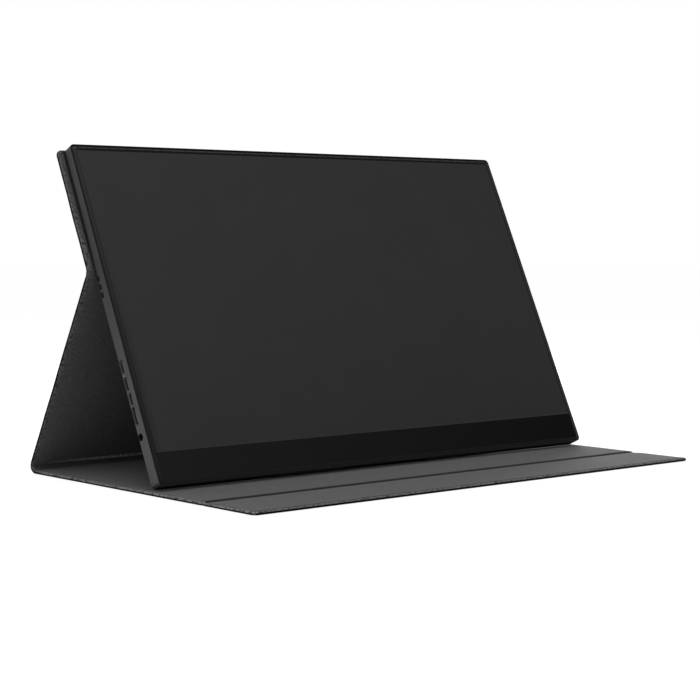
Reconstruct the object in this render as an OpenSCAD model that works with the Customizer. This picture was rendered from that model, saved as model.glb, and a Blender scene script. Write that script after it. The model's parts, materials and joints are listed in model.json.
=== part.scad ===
// Portable monitor standing on its folio cover.
// X runs along the monitor's width, Y runs from the front to the back, Z is up.
// The origin is the middle of the outline on the table.

/* [Monitor casing] */
// Width of the monitor
mon_w = 356; // [330:1:400]
// Height of the monitor
mon_h = 219; // [200:1:255]
// Depth of the casing's side wall, from the glass to the rear shell
mon_t = 9; // [8.9:0.1:12]
// Lean of the monitor back from upright, in degrees
tilt = 25.2; // [18:0.1:34]
// Corner radius of the casing
corner_r = 3; // [2.6:0.1:5]
// Thickness of the casing's side walls
wall = 1.6; // [1.3:0.1:2]
// Width of the casing's bright rim round the glass
rim_w = 1; // [0.7:0.1:1.2]
// Chamfer along the casing's outer edges
edge_c = 0.5; // [0.3:0.1:0.7]
// Thickness of the rear shell
shell_t = 1.2; // [1:0.1:1.8]
// Step from the casing's side in to the rear shell's edge
shell_step = 0.8; // [0.5:0.1:1.1]
// Chamfer along the rear shell's outer edges
shell_c = 0.9; // [0.4:0.1:0.95]
// Length of one snap tab of the rear shell
tab_l = 12; // [8:1:20]
// Depth of one snap tab into the casing
tab_d = 2; // [1.5:0.1:2.6]
// Thickness of one snap tab
tab_t = 0.8; // [0.6:0.1:1]
// Clearance between a snap tab or a lens and the casing
snap_gap = 0.15; // [0.1:0.05:0.25]
// Distance of the inner snap tabs from the middle
tab_x1 = 50; // [40:1:56]
// Distance of the outer snap tabs from the casing's sides
tab_side = 80; // [79:1:84]

/* [Screen] */
// Thickness of the front glass
glass_t = 0.8; // [0.6:0.1:1]
// Clearance round the front glass
glass_gap = 0.1; // [0.05:0.05:0.2]
// Thickness of the display panel
lcd_t = 1.1; // [0.9:0.1:1.3]
// Height of the black chin below the display panel
chin_h = 20; // [18:0.5:24]
// Border between the display panel and the casing's outside, at the sides and the top
lcd_border = 3; // [2.6:0.1:5]
// Thickness of the light guide with its films
guide_t = 1.4; // [1.2:0.1:1.6]
// Setback of the light guide inside the display panel's outline
guide_inset = 0.5; // [0.2:0.1:1]
// Height of the light bar along the light guide's lower edge
led_h = 1.8; // [1.4:0.1:2]
// Distance of the light bar's ends from the casing's sides
led_side = 10; // [9:1:38]
// Gap between the light bar and the light guide
led_gap = 0.1; // [0.1:0.05:0.3]
// Thickness of the metal back plate
plate_t = 0.4; // [0.3:0.1:0.6]
// Clearance between the back plate and the casing's walls
plate_gap = 0.3; // [0.2:0.05:0.4]

/* [Boards] */
// Thickness of the circuit boards
pcb_t = 0.8; // [0.6:0.1:1]
// Gap between the back plate and the main board
pcb_gap = 0.3; // [0.2:0.05:0.35]
// Length of the main board from the left wall inward
main_l = 64; // [56:1:80]
// Lower end of the main board above the monitor's lower edge
main_z = 24; // [22:0.5:26]
// Height of the main board
main_h = 66; // [62:1:76]
// Distance of the driver board's ends from the casing's sides
driver_side = 15; // [8:0.5:17]
// Height of the driver board
driver_h = 12; // [10.5:0.5:12.5]
// Distance of the driver board from the monitor's lower edge
driver_z = 4; // [3.5:0.1:4.5]
// Length of one film flex
flex_w = 26; // [18:1:34]
// Spacing of the film flexes
flex_pitch = 68; // [60:1:74]
// Thickness of films and ribbons
film_t = 0.2; // [0.15:0.05:0.25]
// Side of the display chip
chip_s = 10; // [7:1:12]
// Thickness of the display chip
chip_t = 1; // [0.8:0.1:1.4]
// Length of the shield can
shield_l = 34; // [28:1:36]
// Width of the shield can
shield_w = 30; // [26:1:36]
// Height of the shield can above the main board
shield_h = 2; // [1.8:0.1:2.6]
// Thickness of the shield can's sheet
shield_t = 0.3; // [0.2:0.05:0.4]
// Width of the display ribbon
ribbon_w = 10; // [7:1:11]
// Lap of a film flex or ribbon on the board that it is bonded to
film_lap = 3; // [2:0.5:4]

/* [Sockets] */
// Height of the upper charging socket above the monitor's lower edge
usb_top_z = 75.9; // [74.9:0.5:77.9]
// Height of the lower charging socket
usb_low_z = 65.2; // [65:0.1:65.9]
// Height of the small data socket
micro_z = 55.4; // [55:0.1:56.2]
// Height of the picture socket
hdmi_z = 45.1; // [44.2:0.1:45.1]
// Height of the audio socket
jack_z = 31.9; // [31:0.1:33.4]
// Width of a charging socket
usb_w = 8.9; // [8.5:0.1:9]
// Thickness of a charging socket
usb_h = 3.2; // [3:0.1:3.3]
// Width of the small data socket
micro_w = 7.6; // [6.8:0.1:8]
// Thickness of the small data socket
micro_h = 2.7; // [2.4:0.1:2.9]
// Width of the picture socket
hdmi_w = 11.2; // [10.4:0.1:11.6]
// Thickness of the picture socket
hdmi_h = 3.2; // [2.8:0.1:3.3]
// Depth of the sockets into the casing
socket_d = 7.4; // [6.5:0.1:9]
// Thickness of the sockets' closed back
socket_back = 1; // [0.6:0.1:1.4]
// Thickness of the tongue inside a socket
tongue_t = 0.7; // [0.5:0.1:0.8]
// Gap between the tongue's edges and the socket's outside
tongue_gap = 1.3; // [1:0.1:1.6]
// Setback of the tongue behind the socket's mouth
tongue_in = 0.7; // [0.4:0.1:1.2]
// Thickness of the sockets' sheet metal
socket_t = 0.3; // [0.2:0.05:0.35]
// Setback of the sockets' mouths behind the casing's side
socket_in = 0.3; // [0.2:0.1:0.6]
// Clearance between a socket or jack and its hole in the casing
socket_gap = 0.12; // [0.08:0.01:0.16]
// Radius of the audio socket's bore
jack_r = 1.8; // [1.76:0.01:1.84]
// Wall of the audio socket's nose
jack_wall = 0.45; // [0.35:0.05:0.5]
// Depth of the audio socket's bore
jack_d = 13; // [11.5:0.5:14]
// Length of the audio socket's body
jack_l = 14.5; // [14.3:0.1:16]
// Height of the audio socket's body
jack_h = 6; // [5.2:0.1:6.6]
// Width of casing left behind the audio socket's nose
jack_edge = 0.3; // [0.25:0.05:0.4]
// Height of the status light above the monitor's lower edge
lamp_z = 70.4; // [70.2:0.1:70.6]
// Radius of the status light
lamp_r = 0.5; // [0.35:0.05:0.55]
// Length of the status light's pipe past the casing's wall
lamp_l = 1.2; // [0.8:0.1:1.6]
// Setback of the status light behind the casing's side
lamp_in = 0.1; // [0.05:0.05:0.2]

/* [Side buttons] */
// Height of the middle button above the monitor's lower edge
button_z = 127.5; // [124.5:0.1:131.5]
// Spacing of the buttons
button_pitch = 5.2; // [5.2:0.1:6]
// Length of one button
button_l = 3.4; // [2.8:0.1:3.6]
// Width of one button
button_w = 1.8; // [1.4:0.1:2]
// How far a button stands out of the casing
button_out = 0.4; // [0.3:0.1:0.6]
// Clearance round a button
button_gap = 0.15; // [0.1:0.05:0.2]
// Travel of a button
button_travel = 0.5; // [0.3:0.1:0.6]
// Width of the collar that keeps a button in
collar_w = 0.5; // [0.35:0.05:0.6]
// Thickness of that collar
collar_t = 0.8; // [0.5:0.1:0.9]
// Depth of one switch behind its button
switch_t = 1.6; // [1.3:0.1:2]
// Gap between a pressed button and its switch
switch_gap = 0.2; // [0.1:0.05:0.3]
// Length of the button board past the outer buttons
board_past = 3; // [2:0.5:4]
// Thickness of the two ribs that hold the button board
rib_t = 1.2; // [0.8:0.1:1.6]
// Gap between a rib and the board's end
rib_gap = 0.2; // [0.1:0.05:0.3]
// Width of the button ribbon
button_ribbon_w = 3.5; // [2.5:0.5:4]

/* [Speakers and feet] */
// Distance of each speaker's middle from the casing's side
speaker_side = 50; // [42:1:58]
// Length of one speaker
speaker_l = 40; // [32:1:44]
// Height of one speaker
speaker_h = 12; // [10:0.5:13]
// Depth of one speaker
speaker_d = 4; // [3.4:0.1:4.4]
// Depth of the hollow round a speaker's cone
cone_d = 0.8; // [0.5:0.1:1.2]
// Border of a speaker round that hollow
cone_border = 2; // [1.5:0.5:3]
// Thickness of a speaker lead
lead_t = 0.8; // [0.6:0.1:1]
// Height of the lower speaker lead above the speakers
lead_rise = 2.5; // [1:0.5:3]
// Gap between the two leads
lead_gap = 0.4; // [0.3:0.1:1]
// Width of one sound slot
slot_w = 1.4; // [1:0.1:1.8]
// Spacing of the sound slots
slot_pitch = 4; // [3.4:0.1:5]
// Number of sound slots under each speaker
slot_n = 8; // [5:1:9]
// Length of one sound slot
slot_l = 2.6; // [2:0.1:3]
// Length of one foot strip
foot_l = 60; // [40:1:70]
// Distance of each foot strip's middle from the casing's side
foot_side = 116; // [110:1:123]
// Width of one foot strip
foot_w = 3.6; // [3:0.1:4]
// Depth of the groove that holds a foot strip
foot_in = 0.8; // [0.6:0.1:1]
// How far a foot strip stands out of its groove
foot_out = 0.4; // [0.3:0.05:0.5]
// Distance of a foot strip from the casing's rear edge
foot_back = 1; // [0.9:0.1:1.6]

/* [Screws and magnets] */
// Radius of a screw's shank
screw_r = 0.8; // [0.6:0.05:0.9]
// Radius of a screw's head
screw_head_r = 1.7; // [1.5:0.1:1.9]
// Thickness of a screw's head
screw_head_t = 0.6; // [0.4:0.1:0.7]
// Length of a screw below its head
screw_l = 4.4; // [3:0.1:4.8]
// Clearance round a screw
screw_gap = 0.05; // [0.03:0.01:0.1]
// Radius of a screw boss
boss_r = 2.4; // [2.2:0.1:2.6]
// Distance of the screws from the casing's lower and upper edges
boss_in = 4.2; // [4:0.1:4.6]
// Distance of the outer screws from the casing's sides
screw_side = 12; // [8:0.5:13]
// Distance from an outer screw to the next one
screw_pitch = 85; // [82:1:90]
// Length of one magnet bar
magnet_l = 30; // [20:1:36]
// Height of one magnet bar
magnet_h = 8; // [6:0.5:10]
// Thickness of a magnet in the rear shell
magnet_t = 1.6; // [1:0.1:2]
// Thickness of a magnet in the cover's boards
cover_magnet_t = 1; // [0.8:0.1:1.1]
// Distance of the inner magnets from the middle
magnet_x1 = 52; // [45:1:60]
// Distance of the outer magnets from the casing's sides
magnet_side = 52; // [44:1:60]
// Height of the lower magnet row above the middle fold
magnet_low = 24.6; // [18:0.1:26]
// Distance of the upper magnet row from the cover's upper edge
magnet_top = 20.5; // [16:0.1:22]
// Clearance round a magnet in its pocket
magnet_gap = 0.1; // [0.05:0.05:0.2]

/* [Cover] */
// How far the cover stands out past each side of the monitor
overhang = 3.5; // [1:0.5:6]
// How far the cover stands out past the monitor's upper edge
top_over = 1.2; // [0.8:0.1:5]
// Height of the middle fold along the monitor's back
fold_z = 138.7; // [131:0.1:146]
// Length of the leg between the middle fold and the rear fold
leg_len = 144; // [138:0.1:158]
// Length of the base between the rear fold and the front crease
base_len = 184.7; // [175:0.1:215]
// Length of the front flap
flap_len = 47.5; // [40:0.5:58]
// Thickness of the cover's outer skin
skin_t = 0.5; // [0.4:0.05:0.7]
// Thickness of the stiffening boards
board_t = 1.2; // [1.15:0.05:1.6]
// Thickness of the lining
lining_t = 0.5; // [0.4:0.05:0.7]
// Width of the turned hem along the cover's edges
hem_w = 3; // [2:0.5:6]
// Corner radius of the cover
cover_r = 4; // [2:0.5:8]
// Thickness of the cover where it has no board
web_t = 0.8; // [0.6:0.05:0.9]
// Width of the part without a board on each side of the rear fold
rear_soft = 6; // [4:0.5:8]
// Width of the part without a board on each side of the middle fold
mid_soft = 2.6; // [2:0.1:4]
// Width of the part without a board on each side of the front crease
front_soft = 2.4; // [2.3:0.1:4]
// Clearance between the two sides of a fold
fold_gap = 0.3; // [0.25:0.05:0.4]
// How far the middle fold lies behind the upper panel's middle plane
fold_drop = 0.3; // [0.25:0.05:0.4]
// Gap between the monitor's lower edge and the base
rest_gap = 0.25; // [0.2:0.05:0.5]

/* [Hidden] */
$fn = 48;
over = 1;

// Depths behind the front face of the glass, one layer after the other
lcd_y = glass_t;
guide_y = lcd_y + lcd_t;
plate_y = guide_y + guide_t;
plate_back = plate_y + plate_t;
pcb_y = plate_back + pcb_gap;
pcb_back = pcb_y + pcb_t;
usb_y = pcb_back + usb_h / 2;
jack_nose_r = jack_r + jack_wall;
jack_y = mon_t - jack_edge - jack_nose_r;
lamp_y = usb_y + 1;

// Sizes of the casing's inside
half_w = mon_w / 2;
in_w = mon_w - 2 * wall;
in_x = in_w / 2;
glass_w = mon_w - 2 * rim_w;
lcd_top = mon_h - lcd_border;
lcd_w = mon_w - 2 * lcd_border;
button_y = mon_t - button_w;
collar_x = in_x - collar_t;
switch_x = collar_x - button_travel - switch_gap;
button_pcb_x = switch_x - switch_t;
button_pcb_l = 2 * button_pitch + button_l + 2 * board_past;
sides = [-1, 1];

// Where the parts on the boards lie
mouth_x = socket_in - half_w;
driver_top = driver_z + driver_h;
speaker_x = half_w - speaker_side;
foot_x = half_w - foot_side;
speaker_z = wall + plate_gap;
speaker_top = speaker_z + speaker_h;
ribbon_x = -speaker_x - speaker_l / 2 - ribbon_w / 2 - 2;
ribbon_z = driver_z + driver_h / 4;
shield_x = main_l - in_x - shield_l - 4;
shield_z = main_z + (main_h - shield_w) / 2;

// The cover's sizes
panel_t = skin_t + board_t + lining_t;
cover_w = mon_w + 2 * overhang;
bead_r = panel_t / 2;
web_start = bead_r + fold_gap;
upper_len = mon_h + top_over - fold_z;
layer_outer = panel_t / 2 - skin_t;
layer_inner = lining_t - panel_t / 2;

// Where the folds lie, with Y counted from the monitor's lower rear edge
edge_z = panel_t + rest_gap;
upper_y = shell_t + panel_t / 2;
fold_y = upper_y + fold_drop;
mid_y = fold_z * sin(tilt) + fold_y * cos(tilt);
mid_z = edge_z + fold_z * cos(tilt) - fold_y * sin(tilt);
rear_z = panel_t / 2;
leg_rise = mid_z - rear_z;
leg_run = sqrt(leg_len * leg_len - leg_rise * leg_rise);
leg_tilt = acos(leg_rise / leg_len);
rear_y = mid_y + leg_run;
crease_y = rear_y - base_len;
front_y = crease_y - flap_len;
centre_y = (front_y + rear_y + bead_r) / 2;

// Where a panel's stiff part ends, and where its magnets lie
leg_end = leg_len - mid_soft;
base_end = base_len - front_soft;
flap_magnet_z = flap_len - hem_w - magnet_h;
magnet_x2 = half_w - magnet_side;
magnet_xs = [-magnet_x2, -magnet_x1, magnet_x1, magnet_x2];
magnet_zs = [magnet_low, upper_len - magnet_top];
screw_x2 = half_w - screw_side;
screw_x1 = screw_x2 - screw_pitch;
screw_xs = [-screw_x2, -screw_x1, 0, screw_x1, screw_x2];
tab_x2 = half_w - tab_side;

// Colours that several pieces share
skin_colour = "#2a2a2c";
lining_colour = "#4d4d4f";
board_colour = "#8c8371";
magnet_colour = "#9a9da1";
pcb_colour = "#17503a";
socket_colour = "#b9bcbf";

// A flat piece: its children are drawn in X and Z, and it reaches from y0 back to y1
module plate(y0, y1) {
  translate([0, y1, 0]) rotate([90, 0, 0]) linear_extrude(y1 - y0) children();
}

// A piece that runs along X: its children are drawn in Y and Z
module bar(x0, x1) {
  translate([x0, 0, 0]) rotate([90, 0, 90]) linear_extrude(x1 - x0) children();
}

// A rectangle about the middle with round lower corners r0 and round upper corners r1
module sheet(w, z0, z1, r0, r1) {
  translate([-w / 2, z0 + r0]) square([w, z1 - z0 - r0 - r1]);
  if (r0 > 0) {
    translate([r0 - w / 2, z0]) square([w - 2 * r0, r0 + 0.01]);
    for (s = sides) translate([s * (w / 2 - r0), z0 + r0]) circle(r0);
  }
  if (r1 > 0) {
    translate([r1 - w / 2, z1 - r1 - 0.01]) square([w - 2 * r1, r1 + 0.01]);
    for (s = sides) translate([s * (w / 2 - r1), z1 - r1]) circle(r1);
  }
}

// A slot with round ends, drawn in Y and Z, longest along Z
module slot(w, h) {
  square([h, w - h], center = true);
  for (s = sides) translate([0, s * (w - h) / 2]) circle(h / 2);
}

// A socket mouth with two cut corners, as on picture and data sockets
module keyed(w, h) {
  cut = h * 0.35;
  polygon([
    [-h / 2, -w / 2], [h / 2 - cut, -w / 2], [h / 2, cut - w / 2],
    [h / 2, w / 2 - cut], [h / 2 - cut, w / 2], [-h / 2, w / 2]
  ]);
}

// The frames of the moving groups
module on_monitor() {
  translate([0, -centre_y, edge_z]) rotate([-tilt, 0, 0]) children();
}
module in_stack() {
  on_monitor() translate([0, -mon_t, 0]) children();
}
module on_upper() {
  on_monitor() translate([0, upper_y, fold_z]) children();
}
module on_leg() {
  translate([0, rear_y - centre_y, rear_z]) rotate([leg_tilt, 0, 0]) children();
}
module on_base() {
  translate([0, rear_y - centre_y, rear_z]) rotate([-90, 0, 180]) children();
}
module on_flap() {
  translate([0, crease_y - centre_y, rear_z]) rotate([-90, 0, 180]) children();
}

// Casing frame
module chamfered_block(w, h, t, r, c) {
  hull() {
    plate(0, t) sheet_inset(w, h, r, c);
    plate(c, t - c) sheet_inset(w, h, r, 0);
  }
}
module sheet_inset(w, h, r, c) {
  sheet(w - 2 * c, c, h - c, r - c, r - c);
}
module screw_spots() {
  for (x = screw_xs) for (z = [boss_in, mon_h - boss_in]) translate([x, z]) children();
}
module button_spots() {
  for (i = [-1, 0, 1]) translate([0, button_y, button_z + i * button_pitch]) children();
}
module speaker_slots() {
  for (s = sides) for (i = [0 : slot_n - 1])
    translate([s * speaker_x + (i - (slot_n - 1) / 2) * slot_pitch, 0, 0]) children();
}
module board_ribs() {
  z0 = button_z - button_pcb_l / 2 - rib_gap - rib_t;
  z1 = button_z + button_pcb_l / 2 + rib_gap;
  bar(-in_x - wall / 2, pcb_t - button_pcb_x)
    for (z = [z0, z1]) translate([pcb_y, z]) square([mon_t - pcb_y, rib_t]);
}
module frame_holes() {
  mouth = 2 * socket_gap;
  x0 = -half_w - over;
  x1 = -in_x + over / 2;
  for (z = [usb_top_z, usb_low_z]) bar(x0, x1) translate([usb_y, z]) slot(usb_w + mouth, usb_h + mouth);
  bar(x0, x1) translate([pcb_back + micro_h / 2, micro_z]) keyed(micro_w + mouth, micro_h + mouth);
  bar(x0, x1) translate([pcb_back + hdmi_h / 2, hdmi_z]) keyed(hdmi_w + mouth, hdmi_h + mouth);
  translate([x0, jack_y, jack_z]) rotate([0, 90, 0]) cylinder(h = x1 - x0, r = jack_nose_r + socket_gap);
  translate([x0, lamp_y, lamp_z]) rotate([0, 90, 0]) cylinder(h = x1 - x0, r = lamp_r + snap_gap / 2);
  button_spots() bar(x0, x1) square([button_w + 2 * button_gap, button_l + 2 * button_gap], center = true);
  speaker_slots() translate([0, pcb_y + speaker_d / 2, -over])
    linear_extrude(wall + 2 * over) square([slot_w, slot_l], center = true);
  for (s = sides) translate([s * foot_x, mon_t - foot_back - foot_w / 2, -over])
    linear_extrude(foot_in + over) square([foot_l, foot_w], center = true);
}
module frame() {
  color("#8a8d90") in_stack() difference() {
    union() {
      difference() {
        chamfered_block(mon_w, mon_h, mon_t, corner_r, edge_c);
        plate(-over, glass_t) sheet(glass_w, rim_w, mon_h - rim_w, corner_r - rim_w, corner_r - rim_w);
        plate(0, mon_t + over) sheet(in_w, wall, mon_h - wall, corner_r - wall, corner_r - wall);
      }
      intersection() {
        plate(pcb_y, mon_t) screw_spots() union() {
          circle(boss_r);
          translate([-boss_r, -boss_in + wall / 2]) square([2 * boss_r, 2 * boss_in - wall]);
        }
        plate(0, mon_t) sheet(mon_w - wall, wall / 2, mon_h - wall / 2, corner_r / 2, corner_r / 2);
      }
      board_ribs();
    }
    plate(mon_t - screw_l, mon_t + over) screw_spots() circle(screw_r + screw_gap);
    frame_holes();
  }
}

// Rear shell with its snap tabs, sound slots and sunk screw holes
module rear_shell() {
  tab_z = [wall + snap_gap, mon_h - wall - snap_gap - tab_t];
  color("#2b2c2e") in_stack() difference() {
    union() {
      hull() {
        plate(mon_t, mon_t + shell_t - shell_c) sheet_inset(mon_w, mon_h, corner_r, shell_step);
        plate(mon_t, mon_t + shell_t) sheet_inset(mon_w, mon_h, corner_r, shell_step + shell_c);
      }
      for (x = [-tab_x2, -tab_x1, tab_x1, tab_x2]) for (z = tab_z)
        plate(mon_t - tab_d, mon_t + shell_t / 2) translate([x - tab_l / 2, z]) square([tab_l, tab_t]);
    }
    plate(mon_t - over, mon_t + shell_t + over) screw_spots() circle(screw_r + screw_gap);
    plate(mon_t + shell_t - screw_head_t, mon_t + shell_t + over)
      screw_spots() circle(screw_head_r + screw_gap);
  }
}
module shell_screws() {
  color("#1c1c1e") in_stack() for (x = screw_xs) for (z = [boss_in, mon_h - boss_in])
    translate([x, mon_t + shell_t, z]) rotate([90, 0, 0]) {
      cylinder(h = screw_head_t, r = screw_head_r);
      cylinder(h = screw_head_t + screw_l, r = screw_r);
    }
}

// Screen stack, from the glass back
module front_glass() {
  gap = rim_w + glass_gap;
  color("#0c0c0d") in_stack() plate(0, glass_t)
    sheet(mon_w - 2 * gap, gap, mon_h - gap, corner_r - gap, corner_r - gap);
}
module display_panel() {
  color("#26282b") in_stack() plate(lcd_y, guide_y) sheet(lcd_w, chin_h, lcd_top, 0, 0);
}
module light_guide() {
  color("#dfe6e8") in_stack() plate(guide_y, plate_y)
    sheet(lcd_w - 2 * guide_inset, chin_h, lcd_top - guide_inset, 0, 0);
}
module light_bar() {
  z1 = chin_h - led_gap;
  color("#f1efe2") in_stack() plate(guide_y, plate_y) sheet(mon_w - 2 * led_side, z1 - led_h, z1, 0, 0);
}
module back_plate() {
  gap = wall + plate_gap;
  color("#b5b9bc") in_stack() difference() {
    plate(plate_y, plate_back) sheet(mon_w - 2 * gap, gap, mon_h - gap, corner_r - gap, corner_r - gap);
    plate(plate_y - over, plate_back + over) ribbon_window();
  }
}

// Boards, their parts and their wiring
module ribbon_window() {
  translate([ribbon_x - ribbon_w / 2 - 1, ribbon_z - 1]) square([ribbon_w + 2, 3]);
}
module driver_board() {
  color(pcb_colour) in_stack() plate(plate_y - pcb_t, plate_y)
    sheet(mon_w - 2 * driver_side, driver_z, driver_top, 0, 0);
}
module film_flexes() {
  y0 = guide_y - 2 * film_t;
  y1 = plate_y - pcb_t - film_t;
  z1 = driver_top - 1;
  z2 = z1 - 2;
  color("#b9822c") in_stack() for (i = [-1.5, -0.5, 0.5, 1.5])
    bar(i * flex_pitch - flex_w / 2, i * flex_pitch + flex_w / 2) polygon([
      [y0, chin_h], [y0, z1], [y1, z2], [y1, z2 - film_lap],
      [y1 + film_t, z2 - film_lap], [y1 + film_t, z2], [y0 + film_t, z1], [y0 + film_t, chin_h]
    ]);
}
module main_board() {
  x0 = plate_gap - in_x;
  color(pcb_colour) in_stack() difference() {
    plate(pcb_y, pcb_back) translate([x0, main_z]) square([main_l, main_h]);
    plate(pcb_y - over, pcb_back + over)
      translate([x0 - over, jack_z - jack_h / 2 - snap_gap]) square([over + jack_l, jack_h + 2 * snap_gap]);
  }
}
module shield_can() {
  color("#c3c6c8") in_stack() translate([shield_x, 0, shield_z]) difference() {
    plate(pcb_back, pcb_back + shield_h) square([shield_l, shield_w]);
    plate(pcb_back - over, pcb_back + shield_h - shield_t)
      translate([shield_t, shield_t]) square([shield_l - 2 * shield_t, shield_w - 2 * shield_t]);
  }
}
module board_chips() {
  color("#141416") in_stack() translate([shield_x, 0, shield_z]) for (i = [0.28, 0.72])
    plate(pcb_back, pcb_back + chip_t) translate([shield_l * i, shield_w / 2]) square(chip_s, center = true);
}
module display_ribbon() {
  z_board = main_z + film_lap;
  z_bend = main_z - 2;
  step = 0.2;
  color("#c9c6bd") in_stack() bar(ribbon_x - ribbon_w / 2, ribbon_x + ribbon_w / 2) polygon([
    [pcb_back, z_board], [pcb_back, main_z - step], [plate_back, z_bend], [plate_back, ribbon_z + 1],
    [plate_y, ribbon_z], [plate_y, ribbon_z - 1], [plate_back + film_t, ribbon_z],
    [plate_back + film_t, z_bend - step / 2], [pcb_back + film_t, main_z - 1.5 * step],
    [pcb_back + film_t, z_board]
  ]);
}
module button_board() {
  z0 = button_z - button_pcb_l / 2;
  color(pcb_colour) in_stack() {
    bar(-button_pcb_x, pcb_t - button_pcb_x) translate([pcb_y, z0]) square([mon_t - pcb_y, button_pcb_l]);
    button_spots() bar(-switch_x, -button_pcb_x) square([button_w, button_l], center = true);
  }
}
module button_ribbon() {
  z0 = main_z + main_h - film_lap;
  z1 = button_z - button_pcb_l / 2 + film_lap;
  color("#c9c6bd") in_stack() plate(pcb_back, pcb_back + film_t)
    translate([pcb_t - button_pcb_x, z0]) square([button_ribbon_w, z1 - z0]);
}

// One lead: up from its speaker at x0, along at height z, and up to the main board at x1
module speaker_lead(x0, x1, z) {
  plate(plate_back, plate_back + lead_t) {
    translate([x0, speaker_top]) square([lead_t, z - speaker_top + lead_t]);
    translate([min(x0, x1), z]) square([abs(x1 - x0) + lead_t, lead_t]);
    translate([x1, z]) square([lead_t, main_z - z]);
  }
}
module speaker_leads() {
  pitch = lead_t + lead_gap;
  x_board = ribbon_x + ribbon_w / 2 + 4;
  z = speaker_top + lead_rise;
  color("#a3262a") in_stack() {
    speaker_lead(-speaker_x, x_board, z);
    speaker_lead(speaker_x, x_board + pitch, z + pitch);
  }
}

// Sockets on the left side; each reaches from its mouth into the casing
module mouth(rounded, w, h) {
  if (rounded) slot(w, h);
  else keyed(w, h);
}
module socket(z, w, h, rounded) {
  floor_x = socket_d - socket_back;
  color(socket_colour) in_stack() translate([mouth_x, pcb_back + h / 2, z]) {
    difference() {
      bar(0, socket_d) mouth(rounded, w, h);
      bar(-over, floor_x) mouth(rounded, w - 2 * socket_t, h - 2 * socket_t);
    }
    bar(tongue_in, floor_x + socket_back / 2) square([tongue_t, w - 2 * tongue_gap], center = true);
  }
}
module upper_charging_socket() {
  socket(usb_top_z, usb_w, usb_h, true);
}
module lower_charging_socket() {
  socket(usb_low_z, usb_w, usb_h, true);
}
module data_socket() {
  socket(micro_z, micro_w, micro_h, false);
}
module picture_socket() {
  socket(hdmi_z, hdmi_w, hdmi_h, false);
}
module audio_socket() {
  y0 = jack_y - jack_nose_r;
  color("#1a1a1c") in_stack() difference() {
    union() {
      translate([mouth_x, jack_y, jack_z]) rotate([0, 90, 0]) cylinder(h = wall + 1, r = jack_nose_r);
      bar(plate_gap - in_x, mouth_x + jack_l)
        translate([y0, jack_z - jack_h / 2]) square([mon_t - y0, jack_h]);
    }
    translate([mouth_x - over, jack_y, jack_z]) rotate([0, 90, 0]) cylinder(h = jack_d + over, r = jack_r);
  }
}
module status_light() {
  color("#dfeef7") in_stack() translate([lamp_in - half_w, lamp_y, lamp_z]) rotate([0, 90, 0])
    cylinder(h = wall + lamp_l, r = lamp_r);
}

// Speakers and foot strips
module speaker(s) {
  back = plate_back + speaker_d;
  z0 = speaker_z + cone_border;
  z1 = speaker_top - cone_border;
  color("#202022") in_stack() translate([s * speaker_x, 0, 0]) difference() {
    plate(plate_back, back) sheet(speaker_l, speaker_z, speaker_top, 2, 2);
    plate(back - cone_d, back + over) sheet(speaker_l - 4 * cone_border, z0, z1, 2, 2);
  }
}
module left_speaker() {
  speaker(-1);
}
module right_speaker() {
  speaker(1);
}
module foot_strips() {
  color("#161617") in_stack() for (s = sides)
    translate([s * foot_x, mon_t - foot_back - foot_w / 2, -foot_out])
      linear_extrude(foot_in + foot_out) square([foot_l, foot_w], center = true);
}

// Magnets behind the rear shell
module magnet_spots() {
  for (x = magnet_xs) for (z = magnet_zs) translate([x, z]) children();
}
module shell_magnets() {
  color(magnet_colour) in_stack() plate(mon_t - magnet_t, mon_t)
    translate([0, fold_z]) magnet_spots() square([magnet_l, magnet_h], center = true);
}

// Side buttons
module side_button(i) {
  z = button_z + i * button_pitch;
  collar = 2 * collar_w;
  color("#3a3b3d") in_stack() translate([0, button_y, z]) {
    bar(-half_w - button_out, -collar_x) square([button_w, button_l], center = true);
    bar(button_gap - in_x, -collar_x) square([button_w + collar, button_l + collar], center = true);
  }
}
module power_button() {
  side_button(1);
}
module up_button() {
  side_button(0);
}
module down_button() {
  side_button(-1);
}

// One cover panel: skin with its turned hem, board inside, lining in the hem's window.
// r is the free corners' radius, and 0 on a panel with a fold at both ends.
module panel_skin(z0, z1, r) {
  far = r > 0 ? hem_w : -over;
  difference() {
    plate(-panel_t / 2, panel_t / 2) sheet(cover_w, z0, z1, 0, r);
    panel_board(z0, z1, r);
    plate(-panel_t / 2 - over, layer_inner) sheet(cover_w - 2 * hem_w, z0 - over, z1 - far, 0, 0);
  }
}
module panel_board(z0, z1, r) {
  plate(layer_inner, layer_outer) sheet(cover_w - 2 * skin_t, z0 + skin_t, z1 - skin_t, 0, max(r - skin_t, 0));
}
module panel_lining(z0, z1, r) {
  far = r > 0 ? hem_w : 0;
  plate(-panel_t / 2, layer_inner) sheet(cover_w - 2 * hem_w, z0, z1 - far, 0, 0);
}
module fold_bead(y, z) {
  translate([-cover_w / 2, y, z]) rotate([0, 90, 0]) cylinder(h = cover_w, r = bead_r);
}
module web(z0, z1) {
  plate(-web_t / 2, web_t / 2) sheet(cover_w, z0, z1, 0, 0);
}

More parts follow.
